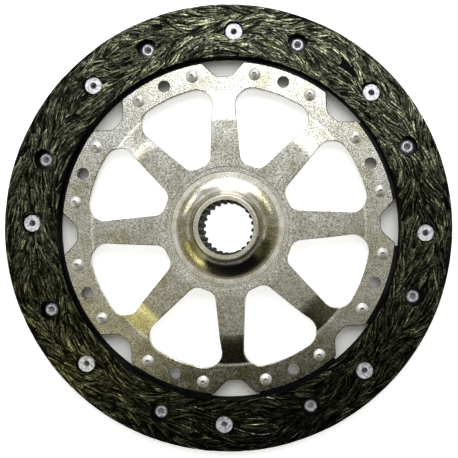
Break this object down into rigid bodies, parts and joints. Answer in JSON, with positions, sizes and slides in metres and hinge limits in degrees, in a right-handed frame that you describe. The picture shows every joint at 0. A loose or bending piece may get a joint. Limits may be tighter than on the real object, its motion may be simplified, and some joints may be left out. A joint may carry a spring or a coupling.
{
  "type": "clutch disc",
  "caption": "Dry clutch disc: riveted friction facings on sprung segments, a cranked spoked web and a splined hub.",
  "frame": {"origin": "centre of the rear friction face, on the disc's axis", "axes": "+Z along the axis towards the hub's collar and the front friction face, +X along the middle of a spoke"},
  "size_m": [0.24, 0.24, 0.0205],
  "materials": {
    "web_steel": "pressed and blasted steel, fine grain, light olive staining",
    "hub_steel": "turned forged steel, fine grain, light olive staining",
    "spring_steel": "hardened spring steel, dark grey",
    "steel_rivet": "headed steel, smooth",
    "plated_rivet": "bright zinc plate",
    "friction_lining": "wound fibre yarn in dark resin, olive grey strands"
  },
  "bodies": {
    "root": {"splined_hub": "hub_steel", "spoked_web": "web_steel", "front_facing": "friction_lining", "rear_facing": "friction_lining", "cushion_segment_1": "spring_steel", "cushion_segment_2": "spring_steel", "cushion_segment_3": "spring_steel", "cushion_segment_4": "spring_steel", "cushion_segment_5": "spring_steel", "cushion_segment_6": "spring_steel", "cushion_segment_7": "spring_steel", "cushion_segment_8": "spring_steel", "front_facing_rivet_1": "plated_rivet", "front_facing_rivet_2": "plated_rivet", "front_facing_rivet_3": "plated_rivet", "front_facing_rivet_4": "plated_rivet", "front_facing_rivet_5": "plated_rivet", "front_facing_rivet_6": "plated_rivet", "front_facing_rivet_7": "plated_rivet", "front_facing_rivet_8": "plated_rivet", "rear_facing_rivet_1": "plated_rivet", "rear_facing_rivet_2": "plated_rivet", "rear_facing_rivet_3": "plated_rivet", "rear_facing_rivet_4": "plated_rivet", "rear_facing_rivet_5": "plated_rivet", "rear_facing_rivet_6": "plated_rivet", "rear_facing_rivet_7": "plated_rivet", "rear_facing_rivet_8": "plated_rivet", "segment_rivet_1": "steel_rivet", "segment_rivet_2": "steel_rivet", "segment_rivet_3": "steel_rivet", "segment_rivet_4": "steel_rivet", "segment_rivet_5": "steel_rivet", "segment_rivet_6": "steel_rivet", "segment_rivet_7": "steel_rivet", "segment_rivet_8": "steel_rivet", "segment_rivet_9": "steel_rivet", "segment_rivet_10": "steel_rivet", "segment_rivet_11": "steel_rivet", "segment_rivet_12": "steel_rivet", "segment_rivet_13": "steel_rivet", "segment_rivet_14": "steel_rivet", "segment_rivet_15": "steel_rivet", "segment_rivet_16": "steel_rivet"}
  },
  "joints": []
}
